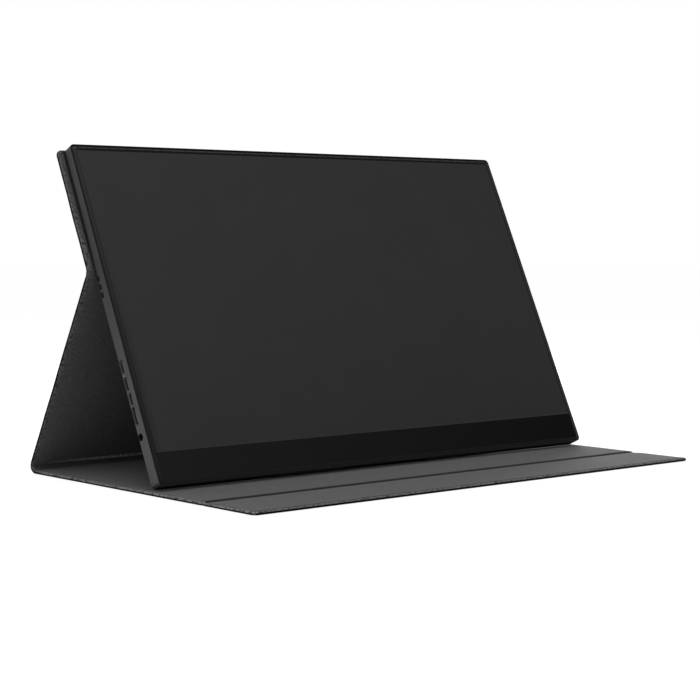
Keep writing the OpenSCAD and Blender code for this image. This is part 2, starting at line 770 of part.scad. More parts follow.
// Upper panel, on the monitor's back
module upper_skin() {
  color(skin_colour) on_upper() {
    panel_skin(mid_soft, upper_len, cover_r);
    web(0, mid_soft + 0.01);
    fold_bead(fold_drop, 0);
  }
}
module upper_board() {
  color(board_colour) on_upper() difference() {
    panel_board(mid_soft, upper_len, cover_r);
    plate(layer_outer - cover_magnet_t, layer_outer + over)
      magnet_spots() square([magnet_l + 2 * magnet_gap, magnet_h + 2 * magnet_gap], center = true);
  }
}
module upper_lining() {
  color(lining_colour) on_upper() panel_lining(mid_soft, upper_len, cover_r);
}
module upper_magnets() {
  color(magnet_colour) on_upper() plate(layer_outer - cover_magnet_t, layer_outer)
    magnet_spots() square([magnet_l, magnet_h], center = true);
}

// Leg, from the rear fold up to the middle fold
module leg_skin() {
  color(skin_colour) on_leg() {
    panel_skin(rear_soft, leg_end, 0);
    web(web_start, rear_soft + 0.01);
    web(leg_end - 0.01, leg_len - web_start);
  }
}
module leg_board() {
  color(board_colour) on_leg() panel_board(rear_soft, leg_end, 0);
}
module leg_lining() {
  color(lining_colour) on_leg() panel_lining(rear_soft, leg_end, 0);
}

// Base, flat on the table from the rear fold to the front crease
module base_skin() {
  color(skin_colour) on_base() {
    panel_skin(rear_soft, base_end, 0);
    web(0, rear_soft + 0.01);
    web(base_end - 0.01, base_len);
    fold_bead(0, 0);
    fold_bead(0, base_len);
  }
}
module base_board() {
  color(board_colour) on_base() panel_board(rear_soft, base_end, 0);
}
module base_lining() {
  color(lining_colour) on_base() panel_lining(rear_soft, base_end, 0);
}

// Front flap, with two magnets that catch the monitor's front when the cover is closed
module flap_magnet_spots() {
  for (s = sides) translate([s * magnet_x2, flap_magnet_z]) children();
}
module flap_skin() {
  color(skin_colour) on_flap() {
    panel_skin(front_soft, flap_len, cover_r);
    web(web_start, front_soft + 0.01);
  }
}
module flap_board() {
  color(board_colour) on_flap() difference() {
    panel_board(front_soft, flap_len, cover_r);
    plate(layer_outer - cover_magnet_t, layer_outer + over)
      flap_magnet_spots() square([magnet_l + 2 * magnet_gap, magnet_h + 2 * magnet_gap], center = true);
  }
}
module flap_lining() {
  color(lining_colour) on_flap() panel_lining(front_soft, flap_len, cover_r);
}
module flap_magnets() {
  color(magnet_colour) on_flap() plate(layer_outer - cover_magnet_t, layer_outer)
    flap_magnet_spots() square([magnet_l, magnet_h], center = true);
}

frame();
rear_shell();
shell_screws();
front_glass();
display_panel();
light_guide();
light_bar();
back_plate();
driver_board();
film_flexes();
main_board();
board_chips();
shield_can();
display_ribbon();
button_board();
button_ribbon();
upper_charging_socket();
lower_charging_socket();
data_socket();
picture_socket();
audio_socket();
status_light();
left_speaker();
right_speaker();
speaker_leads();
foot_strips();
shell_magnets();
power_button();
up_button();
down_button();
upper_skin();
upper_board();
upper_lining();
upper_magnets();
leg_skin();
leg_board();
leg_lining();
base_skin();
base_board();
base_lining();
flap_skin();
flap_board();
flap_lining();
flap_magnets();
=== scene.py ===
"""Portable monitor standing on its folio cover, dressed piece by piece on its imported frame."""
import json
import math

import bmesh
import bpy
from mathutils import Matrix, Vector, noise


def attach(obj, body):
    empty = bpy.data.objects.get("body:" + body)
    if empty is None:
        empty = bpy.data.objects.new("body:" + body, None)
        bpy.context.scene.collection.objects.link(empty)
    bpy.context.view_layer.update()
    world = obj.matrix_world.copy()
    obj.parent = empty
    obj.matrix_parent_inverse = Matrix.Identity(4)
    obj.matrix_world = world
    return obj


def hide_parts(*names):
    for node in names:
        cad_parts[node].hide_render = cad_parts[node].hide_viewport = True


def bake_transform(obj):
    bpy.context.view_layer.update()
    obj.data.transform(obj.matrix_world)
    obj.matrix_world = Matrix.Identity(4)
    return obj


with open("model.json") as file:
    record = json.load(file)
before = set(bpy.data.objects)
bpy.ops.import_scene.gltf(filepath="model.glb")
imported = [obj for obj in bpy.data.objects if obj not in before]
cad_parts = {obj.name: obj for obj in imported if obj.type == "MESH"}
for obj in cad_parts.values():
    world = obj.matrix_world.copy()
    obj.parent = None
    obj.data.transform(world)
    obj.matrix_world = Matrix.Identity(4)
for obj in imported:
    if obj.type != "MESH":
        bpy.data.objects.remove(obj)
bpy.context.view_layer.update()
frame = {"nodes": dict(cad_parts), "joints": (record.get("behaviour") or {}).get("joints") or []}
nodes = frame["nodes"]
joint_at = {j["name"]: Vector(j["pos_m"]) for j in frame["joints"] if j["type"] == "hinge"}


# Camera at the photograph's standpoint: low, in front of the left edge, with a short
# telephoto lens, so that the screen's left side strip and the inside of the leg both show.
camera = bpy.data.objects.new("camera", bpy.data.cameras.new("camera"))
bpy.context.scene.collection.objects.link(camera)
camera.location = (-0.76428, -0.87278, 0.1491)
camera.rotation_euler = (math.radians(86.37), 0, math.radians(-40.68))
camera.data.lens = 92.89
camera.data.sensor_width = 36
camera.data.clip_start = 0.01
bpy.context.scene.camera = camera
bpy.context.scene.view_settings.view_transform = "Standard"


# The world is an even white studio. The camera sees it plain white. Mirrored in glass and
# metal it turns grey towards the right, and it lights everything else more gently.
def link(tree, source, target):
    tree.links.new(source, target)


def seen_directly(tree, glossy=True):
    """1 for rays from the camera, and for mirrored and see-through rays too if glossy."""
    path = tree.nodes.new("ShaderNodeLightPath")
    seen = path.outputs["Is Camera Ray"]
    if glossy:
        for name in ("Is Glossy Ray", "Is Transmission Ray"):
            more = tree.nodes.new("ShaderNodeMath")
            more.operation = "MAXIMUM"
            link(tree, seen, more.inputs[0])
            link(tree, path.outputs[name], more.inputs[1])
            seen = more.outputs[0]
    return seen


def either(tree, factor, first, second):
    """The first shader where factor is 0, and the second one where it is 1."""
    mix = tree.nodes.new("ShaderNodeMixShader")
    for socket, source in zip(mix.inputs, (factor, first, second)):
        link(tree, source, socket)
    return mix.outputs[0]


def white_sky(tree, strength):
    background = tree.nodes.new("ShaderNodeBackground")
    background.inputs["Color"].default_value = (1, 1, 1, 1)
    background.inputs["Strength"].default_value = strength
    return background


world = bpy.data.worlds.new("white_studio")
bpy.context.scene.world = world
world.use_nodes = True
tree = world.node_tree
tree.nodes.clear()
to_right = tree.nodes.new("ShaderNodeSeparateXYZ")
link(tree, tree.nodes.new("ShaderNodeTexCoord").outputs["Generated"], to_right.inputs[0])
fade = tree.nodes.new("ShaderNodeMapRange")
link(tree, to_right.outputs[0], fade.inputs["Value"])
for name, value in (("From Min", 0.45), ("From Max", 0.8), ("To Min", 1), ("To Max", 0.35)):
    fade.inputs[name].default_value = value
grey_wall = white_sky(tree, 1)
link(tree, fade.outputs[0], grey_wall.inputs["Strength"])
from_camera = tree.nodes.new("ShaderNodeLightPath").outputs["Is Camera Ray"]
in_sight = either(tree, from_camera, grey_wall.outputs[0], white_sky(tree, 1).outputs[0])
sky = either(tree, seen_directly(tree), white_sky(tree, 0.4).outputs[0], in_sight)
link(tree, sky, tree.nodes.new("ShaderNodeOutputWorld").inputs[0])


# Two soft boxes: one behind on the right, which leaves the cover in the monitor's shade and
# brightens its right end, and a wide one above the left that fills the side strip.
def soft_box(name, place, aim, width, power):
    light = bpy.data.lights.new(name, "AREA")
    light.shape = "RECTANGLE"
    light.size = width
    light.size_y = width * 0.7
    light.energy = power
    box = bpy.data.objects.new(name, light)
    bpy.context.scene.collection.objects.link(box)
    box.location = place
    box.rotation_euler = (Vector(aim) - Vector(place)).to_track_quat("-Z", "Y").to_euler()
    box.visible_glossy = False


soft_box("right_soft_box", (0.78, 0.68, 0.52), (0.17, -0.1, 0), 0.42, 9.5)
soft_box("upper_soft_box", (-0.4, -0.6, 1.5), (0, 0, 0), 1.0, 7)


# The table is a plain pale sheet. The camera sees it almost white, and it still takes the
# object's soft shadow.
def new_material(name):
    material = bpy.data.materials.new(name)
    material.use_nodes = True
    material.node_tree.nodes.clear()
    return material, material.node_tree


table_white, tree = new_material("table_white")
paper = tree.nodes.new("ShaderNodeBsdfDiffuse")
paper.inputs["Color"].default_value = (0.9, 0.9, 0.9, 1)
glow = tree.nodes.new("ShaderNodeEmission")
glow.inputs["Strength"].default_value = 0.87
faint = tree.nodes.new("ShaderNodeBsdfDiffuse")
faint.inputs["Color"].default_value = (0.3, 0.3, 0.3, 1)
bright = tree.nodes.new("ShaderNodeAddShader")
link(tree, glow.outputs[0], bright.inputs[0])
link(tree, faint.outputs[0], bright.inputs[1])
seen_table = either(tree, seen_directly(tree, glossy=False), paper.outputs[0], bright.outputs[0])
link(tree, seen_table, tree.nodes.new("ShaderNodeOutputMaterial").inputs[0])

bm = bmesh.new()
bmesh.ops.create_grid(bm, x_segments=2, y_segments=2, size=6)
bmesh.ops.translate(bm, verts=bm.verts, vec=(0, 0, -0.0002))
mesh = bpy.data.meshes.new("table")
bm.to_mesh(mesh)
bm.free()
mesh.materials.append(table_white)
table = bpy.data.objects.new("table", mesh)
bpy.context.scene.collection.objects.link(table)


# Casing: a satin dark grey aluminium frame, cut from one extrusion and bent round the
# screen. Its front lip is dyed black, and every edge is broken by a fine bevel.
TILT = math.radians(25.2)
CASING_T = 9
MONITOR_X, MONITOR_H = 178, 219
FOLD_Y, FOLD_Z = 2.6, 138.7
lean = Matrix.Rotation(-TILT, 4, "X")
lower_edge = joint_at["middle_fold"] - lean @ Vector((0, FOLD_Y / 1000, FOLD_Z / 1000))
on_casing = (
    Matrix.Translation(lower_edge) @ lean
    @ Matrix.Translation((0, -CASING_T / 1000, 0)) @ Matrix.Scale(0.001, 4)
)


class Finish:
    """A surface finish: one glossy shader with procedural colour, roughness and relief."""

    def __init__(self, name, metal=0.0, specular=0.5, space="Object", **sockets):
        self.material, self.tree = new_material(name)
        self.shader = self.add("ShaderNodeBsdfPrincipled")
        self.set(self.shader, Metallic=metal)
        self.shader.inputs["Specular IOR Level"].default_value = specular
        for socket, value in sockets.items():
            self.shader.inputs[socket.replace("_", " ")].default_value = value
        link(self.tree, self.shader.outputs[0], self.add("ShaderNodeOutputMaterial").inputs[0])
        self.place = self.add("ShaderNodeTexCoord").outputs[space]
        self.normal = None

    def add(self, kind):
        return self.tree.nodes.new(kind)

    def set(self, node, **values):
        for name, value in values.items():
            node.inputs[name].default_value = value

    def stretched(self, scale, turn=(0, 0, 0), shift=(0, 0, 0)):
        """The surface's own coordinates, moved, turned and stretched."""
        mapping = self.add("ShaderNodeMapping")
        link(self.tree, self.place, mapping.inputs["Vector"])
        self.set(mapping, Location=shift, Rotation=turn, Scale=scale)
        return mapping.outputs[0]

    def grain(self, scale, detail=3, rough=0.55, place=None):
        texture = self.add("ShaderNodeTexNoise")
        link(self.tree, place or self.place, texture.inputs["Vector"])
        self.set(texture, Scale=scale, Detail=detail, Roughness=rough)
        return texture.outputs["Fac"]

    def cells(self, scale, feature="SMOOTH_F1", place=None):
        texture = self.add("ShaderNodeTexVoronoi")
        texture.feature = feature
        link(self.tree, place or self.place, texture.inputs["Vector"])
        self.set(texture, Scale=scale)
        return texture.outputs["Distance"]

    def math(self, operation, a, b):
        node = self.add("ShaderNodeMath")
        node.operation = operation
        for socket, value in zip(node.inputs, (a, b)):
            if isinstance(value, (int, float)):
                socket.default_value = value
            else:
                link(self.tree, value, socket)
        return node.outputs[0]

    def times(self, first, *more):
        """The product of several values."""
        for value in more:
            first = self.math("MULTIPLY", first, value)
        return first

    def most(self, first, *more):
        """The largest of several values."""
        for value in more:
            first = self.math("MAXIMUM", first, value)
        return first

    def off(self, value, place=0):
        """How far a value is from a place, on either side of it."""
        return self.math("ABSOLUTE", self.math("SUBTRACT", value, place), 0)

    def between(self, factor, low, high, start=0.3, end=0.7):
        """A value that runs from low to high while factor goes from start to end."""
        node = self.add("ShaderNodeMapRange")
        link(self.tree, factor, node.inputs["Value"])
        self.set(node, **{"From Min": start, "From Max": end, "To Min": low, "To Max": high})
        return node.outputs[0]

    def tones(self, factor, *stops):
        """A colour ramp; each stop is a place and a grey or a colour."""
        ramp = self.add("ShaderNodeValToRGB")
        link(self.tree, factor, ramp.inputs[0])
        elements = ramp.color_ramp.elements
        while len(elements) < len(stops):
            elements.new(0.5)
        for element, (at, tone) in zip(elements, stops):
            tone = (tone,) * 3 if isinstance(tone, (int, float)) else tone
            element.position = at
            element.color = (*tone, 1)
        return ramp.outputs[0]

    def mixed(self, factor, a, b):
        """Colour a where factor is 0, and b where it is 1; a number stands for a grey."""
        node = self.add("ShaderNodeMix")
        node.data_type = "RGBA"
        link(self.tree, factor, node.inputs[0])
        for socket, value in zip((node.inputs[6], node.inputs[7]), (a, b)):
            if isinstance(value, (int, float)):
                value = (value,) * 3
            if isinstance(value, tuple):
                socket.default_value = (*value, 1)
            else:
                link(self.tree, value, socket)
        return node.outputs[2]

    def colour(self, value):
        link(self.tree, value, self.shader.inputs["Base Color"])
        return self

    def roughness(self, value):
        link(self.tree, value, self.shader.inputs["Roughness"])
        return self

    def relief(self, height, depth, strength=1.0):
        """Adds fine relief of that depth, in metres, on top of any relief before it."""
        bump = self.add("ShaderNodeBump")
        self.set(bump, Strength=strength, Distance=depth)
        link(self.tree, height, bump.inputs["Height"])
        if self.normal:
            link(self.tree, self.normal, bump.inputs["Normal"])
        self.normal = bump.outputs[0]
        link(self.tree, self.normal, self.shader.inputs["Normal"])
        return self


def dress(name, material, bevel=0.0):
    """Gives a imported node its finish, and fine bevels along its hard edges."""
    node = nodes[name]
    node.data.materials.clear()
    node.data.materials.append(material)
    if bevel:
        weld = node.modifiers.new("weld", "WELD")
        weld.merge_threshold = 1e-6
        edge = node.modifiers.new("bevel", "BEVEL")
        edge.width = bevel / 1000
        edge.segments = 2
        edge.limit_method = "ANGLE"
        edge.angle_limit = math.radians(32)
        edge.use_clamp_overlap = True
        edge.harden_normals = True


def casing_mm(finish):
    """Places on the casing, in mm: to the right, back from the glass, and up."""
    axes = finish.add("ShaderNodeSeparateXYZ")
    link(finish.tree, finish.stretched((1000, 1000, 1000), turn=(TILT, 0, 0)), axes.inputs[0])
    origin = (lean.inverted() @ lower_edge) * 1000
    depth = finish.math("SUBTRACT", axes.outputs[1], origin.y - CASING_T)
    return axes.outputs[0], depth, finish.math("SUBTRACT", axes.outputs[2], origin.z)


satin = Finish("satin_aluminium", metal=0.75, specular=0.04)
across, depth, up = casing_mm(satin)
brushed = satin.grain(1, 4, 0.6, satin.stretched((60, 2600, 60), turn=(TILT, 0, 0)))
grey = satin.tones(brushed, (0.3, (0.096, 0.097, 0.099)), (0.7, (0.12, 0.121, 0.123)))
# Painted light and shade: the grey is lightest at the foot of the strip, where the table lights it, and
# darker upward.
painted_shade_upward = satin.tones(
    satin.between(up, 0, 1, 0, MONITOR_H),
    (0, 0.0), (0.3, 0.12), (0.5, 0.34), (0.62, 0.38), (0.9, 0.32), (1, 0.38),
)
grey = satin.mixed(painted_shade_upward, grey, 0.0)
# The grey strip is less deep from the keys upward, where the side wall behind it is painted black as
# painted shadow of the cover. The foot of the side wall is painted black as painted shadow, and the
# underside as dark plastic and the shade beneath it; only the front lip is dyed black.
COVER_SHADE_START, COVER_SHADE_MIDDLE, COVER_SHADE_END = 122, 133, 160
grey_depth = satin.math(
    "SUBTRACT", satin.between(up, 9.2, 7.3, COVER_SHADE_START, COVER_SHADE_MIDDLE),
    satin.between(up, 0, 1.2, COVER_SHADE_MIDDLE, COVER_SHADE_END),
)
side_wall = satin.between(satin.off(across), 0, 1, MONITOR_X - 0.6, MONITOR_X - 0.2)
dye_and_painted_shade = satin.most(
    satin.between(depth, 1, 0, 0.42, 0.6),
    satin.between(satin.math("SUBTRACT", depth, grey_depth), 0, 1, -0.1, 0.25),
    satin.between(up, 1, 0, 0.25, 0.6),
    satin.times(side_wall, satin.between(up, 1, 0, 1.3, 2.0)),
)
# The lip below the glass, its left side and the front of its underside are painted lighter than the
# black dye: painted highlights where these edges catch the light.
low_lip_highlight = satin.times(
    satin.between(up, 1, 0, 1.8, 2.6), satin.between(depth, 1, 0, 0.1, 0.25),
    satin.between(up, 0, 1, 0.2, 0.45),
)
left_lip_highlight = satin.times(
    satin.between(across, 1, 0, 1 - MONITOR_X, 1.6 - MONITOR_X), satin.between(up, 0, 1, 1, 2),
    satin.between(up, 1, 0, MONITOR_H - 3, MONITOR_H - 1.5),
)
under_lip_highlight = satin.times(
    satin.between(up, 1, 0, 0.2, 0.5), satin.between(depth, 1, 0, 3.6, 4.4),
    satin.between(side_wall, 1, 0, 0, 1),
)
dye_and_highlights = satin.mixed(low_lip_highlight, (0.0022, 0.0022, 0.0023), (0.0125, 0.0125, 0.0126))
dye_and_highlights = satin.mixed(left_lip_highlight, dye_and_highlights, (0.0165, 0.0165, 0.0168))
dye_and_highlights = satin.mixed(under_lip_highlight, dye_and_highlights, 0.065)
satin.colour(satin.mixed(dye_and_painted_shade, grey, dye_and_highlights))
link(satin.tree, satin.between(dye_and_painted_shade, 0.75, 0, 0, 1), satin.shader.inputs["Metallic"])
satin.roughness(satin.between(satin.grain(900), 0.36, 0.5))
satin.relief(brushed, 0.000004, 0.4)
dress("frame", satin.material, 0.12)


# Rear shell: moulded black plastic with a fine spark texture, a bevelled edge, and sound
# slots at the bottom. Snap tabs and ten small screws hold it to the casing.
moulded = Finish("moulded_black", specular=0.35)
moulded.colour(moulded.tones(moulded.grain(700, 2), (0.35, 0.018), (0.7, 0.026)))
moulded.roughness(moulded.between(moulded.grain(260), 0.52, 0.68))
moulded.relief(moulded.grain(2600, 2, 0.6), 0.00003, 0.5)
dress("rear_shell", moulded.material, 0.15)


# Rear screws: ten small black steel screws with a cross recess, sunk in the rear shell and
# cut into bosses of the casing.
SCREW_XS = (-166, -81, 0, 81, 166)
SCREW_ZS = (4.2, 214.8)
HEAD_R, HEAD_T, SHANK_R, SHANK_L = 1.7, 0.6, 0.8, 4.4
SHELL_BACK = CASING_T + 1.2


def settle(name, bm, body, *materials, place=None, smooth=35):
    """Turns a mesh under work into a piece that rides on a body."""
    mesh = bpy.data.meshes.new(name)
    if place:
        bmesh.ops.transform(bm, matrix=place, verts=bm.verts)
    bm.to_mesh(mesh)
    bm.free()
    for material in materials:
        mesh.materials.append(material)
    if smooth:
        mesh.shade_smooth()
        mesh.set_sharp_from_angle(angle=math.radians(smooth))
    obj = bpy.data.objects.new(name, mesh)
    bpy.context.scene.collection.objects.link(obj)
    if body:
        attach(obj, body)
    return obj


def join_rings(bm, a, b, material=0, closed=True):
    """Quads between two rows of corners of the same number."""
    count = len(a)
    for i in range(count if closed else count - 1):
        j = (i + 1) % count
        face = bm.faces.new((a[i], a[j], b[j], b[i]))
        face.material_index = material


def screw(bm, x, z):
    """A screw from its recess over its head to its shank, about a line along Y."""
    wide, thin, deep = 0.95, 0.22, 0.45
    quarter = [(wide, -thin), (wide, thin), (thin, thin)]
    star = []
    for turn in range(4):
        for px, pz in quarter:
            for _ in range(turn):
                px, pz = -pz, px
            star.append((px, pz))
    angles = [math.atan2(pz, px) for px, pz in star]

    def ring(r, y):
        return [bm.verts.new((x + r * math.cos(a), y, z + r * math.sin(a))) for a in angles]

    floor = [bm.verts.new((x + px * 0.45, SHELL_BACK - deep, z + pz * 0.45)) for px, pz in star]
    mouth = [bm.verts.new((x + px, SHELL_BACK - 0.02, z + pz)) for px, pz in star]
    rings = [
        floor, mouth, ring(HEAD_R - 0.3, SHELL_BACK), ring(HEAD_R - 0.08, SHELL_BACK - 0.08),
        ring(HEAD_R, SHELL_BACK - 0.25), ring(HEAD_R, SHELL_BACK - HEAD_T),
        ring(SHANK_R, SHELL_BACK - HEAD_T), ring(SHANK_R, SHELL_BACK - HEAD_T - SHANK_L + 0.3),
        ring(SHANK_R * 0.5, SHELL_BACK - HEAD_T - SHANK_L),
    ]
    for a, b in zip(rings, rings[1:]):
        join_rings(bm, a, b)
    bm.faces.new(floor)
    bm.faces.new(rings[-1])


black_steel = Finish("black_steel", metal=0.6, specular=0.4)
black_steel.colour(black_steel.tones(black_steel.grain(1500), (0.3, 0.03), (0.7, 0.05)))
black_steel.roughness(black_steel.between(black_steel.grain(900), 0.32, 0.48))
bm = bmesh.new()
for x in SCREW_XS:
    for z in SCREW_ZS:
        screw(bm, x, z)
bmesh.ops.recalc_face_normals(bm, faces=bm.faces)
screws = settle("cross_screws", bm, "monitor", black_steel.material, place=on_casing)
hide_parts("shell_screws")


# Front glass: one sheet of toughened glass over the whole face, with a polished edge. A
# black border and the chin are printed behind it, and the screen shows between them.
GLASS_X, GLASS_Z0, GLASS_Z1, GLASS_R = 176.9, 1.1, 217.9, 1.9
SCREEN_X, SCREEN_Z0, SCREEN_Z1 = 174.3, 20.6, 214.8
LINE_Z = 20
GLASS_T, POLISH, POLISH_T = 0.8, 1.6, 0.06


def rounded(x, z0, z1, r, steps=10):
    """A rectangle with round corners, anticlockwise from its lower right corner."""
    points = []
    centres = ((x - r, z0 + r, -90), (x - r, z1 - r, 0), (r - x, z1 - r, 90), (r - x, z0 + r, 180))
    for cx, cz, start in centres:
        for i in range(steps + 1):
            a = math.radians(start + 90 * i / steps)
            points.append((cx + r * math.cos(a), cz + r * math.sin(a)))
    return points


bm = bmesh.new()
levels = (LINE_Z, SCREEN_Z0, SCREEN_Z1)
FACE_X = GLASS_X - POLISH


def with_levels(points, x):
    """An outline with corners at the levels added on both of its straight sides."""
    quarter = len(points) // 4
    right = [(x, z) for z in levels]
    left = [(-x, z) for z in reversed(levels)]
    return points[:quarter] + right + points[quarter:3 * quarter] + left + points[3 * quarter:]


rim = with_levels(rounded(FACE_X, GLASS_Z0 + POLISH, GLASS_Z1 - POLISH, GLASS_R - POLISH), FACE_X)
face_ring = [bm.verts.new((x, 0, z)) for x, z in rim]
at = {(round(v.co.x, 3), round(v.co.z, 3)): v for v in face_ring}
for z in levels:
    for s in (-1, 1):
        at[(s * SCREEN_X, z)] = bm.verts.new((s * SCREEN_X, 0, z))


def strip(z0, z1, material):
    """The face between two heights: the border at both ends and the middle."""
    xs = (round(-FACE_X, 3), -SCREEN_X, SCREEN_X, round(FACE_X, 3))
    for i, kind in ((0, 0), (1, material), (2, 0)):
        corners = [at[(xs[i], z0)], at[(xs[i + 1], z0)], at[(xs[i + 1], z1)], at[(xs[i], z1)]]
        bm.faces.new(corners).material_index = kind


strip(LINE_Z, SCREEN_Z0, 2)
strip(SCREEN_Z0, SCREEN_Z1, 1)
TOUCH = 1e-6
below = [v for v in face_ring if v.co.z <= LINE_Z + TOUCH]
above = [v for v in face_ring if v.co.z >= SCREEN_Z1 - TOUCH]
start = next(
    i for i, v in enumerate(face_ring)
    if v.co.z <= LINE_Z + TOUCH and face_ring[i - 1].co.z > LINE_Z
)
below = [face_ring[(start + i) % len(face_ring)] for i in range(len(below))]
bm.faces.new(below + [at[(SCREEN_X, LINE_Z)], at[(-SCREEN_X, LINE_Z)]]).material_index = 3
bm.faces.new(above + [at[(-SCREEN_X, SCREEN_Z1)], at[(SCREEN_X, SCREEN_Z1)]]).material_index = 0
outer = with_levels(rounded(GLASS_X, GLASS_Z0, GLASS_Z1, GLASS_R), GLASS_X)
edge_ring = [bm.verts.new((x, POLISH_T, z)) for x, z in outer]
back_ring = [bm.verts.new((x, GLASS_T, z)) for x, z in outer]
join_rings(bm, face_ring, edge_ring, 4)
join_rings(bm, edge_ring, back_ring, 4)
bm.faces.new(back_ring).material_index = 0
bmesh.ops.recalc_face_normals(bm, faces=bm.faces)


def glass_finish(
    name, dark, light, rough, specular, left=1.0, right=1.0, low=1.0, edge=1.0, left_highlight=False
):
    """Printed glass: nearly even colour, a clean gloss, and the faintest dust. The tone changes by the
    given shares to the left, to the right, downward and at the left edge; these shares are painted
    light and shade, lighter where the left is lit and darker downward and low along the left edge.
    left_highlight is a painted highlight on the border's left side, growing upward."""
    glass = Finish(name, specular=specular)
    across, _, up = casing_mm(glass)
    edge_low = glass.between(up, edge, 1, 70, 190)
    inside = glass.between(across, 0, 1, -175, -169)
    shade = glass.times(
        glass.between(across, left, right, -MONITOR_X, MONITOR_X),
        glass.between(up, low, 1, LINE_Z, MONITOR_H),
        glass.math("ADD", edge_low, glass.times(inside, glass.math("SUBTRACT", 1, edge_low))),
    )
    scaled = glass.add("ShaderNodeVectorMath")
    scaled.operation = "SCALE"
    link(glass.tree, glass.tones(glass.grain(30, 2), (0.3, dark), (0.7, light)), scaled.inputs[0])
    link(glass.tree, shade, scaled.inputs["Scale"])
    tone = scaled.outputs[0]
    if left_highlight:
        side = glass.mixed(
            glass.between(up, 0, 1, 40, 200), (0.0185, 0.0185, 0.0187), (0.0305, 0.0305, 0.0308)
        )
        tone = glass.mixed(glass.between(across, 1, 0, -175, -173), tone, side)
    glass.colour(tone)
    glass.roughness(glass.between(glass.grain(14, 4), rough, rough * 1.5))
    return glass.material


def edge_finish(name):
    """The glass's ground edge: frosted and lighter than the print, then black at its outer line along
    the top and the right side. Elsewhere its tone is painted light, lighter to the left along the
    bottom and lighter upward along the left side."""
    edge = Finish(name, specular=0.06)
    across, _, up = casing_mm(edge)
    speckle = edge.grain(620, 2)
    low = edge.mixed(
        edge.between(across, 0, 1, -MONITOR_X, MONITOR_X),
        (0.0122, 0.0122, 0.0123), (0.0088, 0.0088, 0.0089),
    )
    side = edge.mixed(
        edge.between(up, 0, 1, 30, 200), (0.0165, 0.0165, 0.0167), (0.036, 0.036, 0.0363)
    )
    frosted = edge.tones(speckle, (0.35, 0.026), (0.65, 0.07))
    far = edge.most(edge.between(up, 0, 1, 215, 216), edge.between(across, 0, 1, 174.6, 175))
    outer_line = edge.most(
        edge.between(up, 0, 1, 217.0, 217.25), edge.between(across, 0, 1, 176.5, 176.7)
    )
    tone = edge.mixed(edge.between(up, 0, 1, 3.4, 5), low, side)
    edge.colour(edge.mixed(outer_line, edge.mixed(far, tone, frosted), 0.002))
    edge.roughness(edge.between(speckle, 0.3, 0.45))
    return edge.material


# The screen's and the chin's shares below are painted light and shade, and the border carries a painted
# highlight on its left side.
front_glass = settle(
    "printed_glass", bm, "monitor",
    glass_finish("printed_border", 0.0055, 0.0065, 0.16, 0.06, left_highlight=True),
    glass_finish("dark_screen", 0.0275, 0.0295, 0.34, 0.12, left=1.2, right=0.9, low=0.94, edge=0.62),
    glass_finish("screen_line", 0.034, 0.038, 0.3, 0.1),
    glass_finish("printed_chin", 0.0068, 0.0076, 0.14, 0.06, left=1.6, right=0.2),
    edge_finish("polished_edge"),
    place=on_casing, smooth=20,
)
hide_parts("front_glass")


# Side buttons: three small keys of black plastic beside the ports, power uppermost. Their
# caps are softly rounded, and each springs half a millimetre into the casing.
key_black = Finish("key_black", specular=0.08)
key_black.colour(key_black.tones(key_black.grain(900), (0.3, 0.005), (0.7, 0.009)))
key_black.roughness(key_black.between(key_black.grain(400), 0.38, 0.52))
key_black.relief(key_black.grain(5000, 2), 0.00001, 0.4)
for name in ("power_button", "up_button", "down_button"):
    dress(name, key_black.material, 0.35)


# Ports: four sockets drawn from steel sheet, dark plated, each with a tongue inside, and a
# round audio socket moulded in black plastic. They sit behind holes in the left wall.
steel = Finish("plated_steel", metal=0.7)
steel.colour(steel.tones(steel.grain(1500), (0.3, 0.13), (0.7, 0.18)))
steel.roughness(steel.between(steel.grain(700), 0.3, 0.45))
for name in ("upper_charging_socket", "lower_charging_socket", "data_socket", "picture_socket"):
    dress(name, steel.material, 0.06)
dress("audio_socket", key_black.material, 0.08)


# Screen stack: a dark glass panel, a clear light guide with printed dots, a light bar with
# small lamps on its lower edge, and a milled steel plate behind them all.
panel_glass = Finish("panel_glass_finish", specular=0.4)
panel_glass.colour(panel_glass.tones(panel_glass.grain(25, 2), (0.3, 0.02), (0.7, 0.03)))
panel_glass.roughness(panel_glass.between(panel_glass.grain(300), 0.22, 0.34))
dress("display_panel", panel_glass.material, 0.05)

acrylic = Finish("clear_acrylic_finish", IOR=1.49, Transmission_Weight=0.6)
dots = acrylic.between(acrylic.cells(420, "F1"), 1, 0, 0.25, 0.32)
acrylic.colour(acrylic.mixed(dots, (0.72, 0.76, 0.78), (0.95, 0.95, 0.95)))
acrylic.roughness(acrylic.between(dots, 0.12, 0.6))
dress("light_guide", acrylic.material, 0.1)

lamps = Finish("light_bar_finish", specular=0.4)
along, _, _ = casing_mm(lamps)
beat = lamps.math("FRACT", lamps.math("MULTIPLY", along, 0.16), 0)
lit = lamps.between(lamps.off(beat, 0.5), 1, 0, 0.2, 0.24)
lamps.colour(lamps.mixed(lit, (0.8, 0.8, 0.78), (0.75, 0.62, 0.2)))
lamps.roughness(lamps.between(lit, 0.5, 0.25))
dress("light_bar", lamps.material, 0.05)

sheet_steel = Finish("sheet_metal_finish", metal=0.85)
milled = sheet_steel.grain(1, 3, 0.6, sheet_steel.stretched((30, 1500, 1500)))
sheet_steel.colour(sheet_steel.tones(milled, (0.3, (0.36, 0.37, 0.38)), (0.7, (0.48, 0.49, 0.5))))
sheet_steel.roughness(sheet_steel.between(milled, 0.3, 0.46))
sheet_steel.relief(milled, 0.00001, 0.4)
dress("back_plate", sheet_steel.material, 0.05)
dress("shield_can", sheet_steel.material, 0.1)


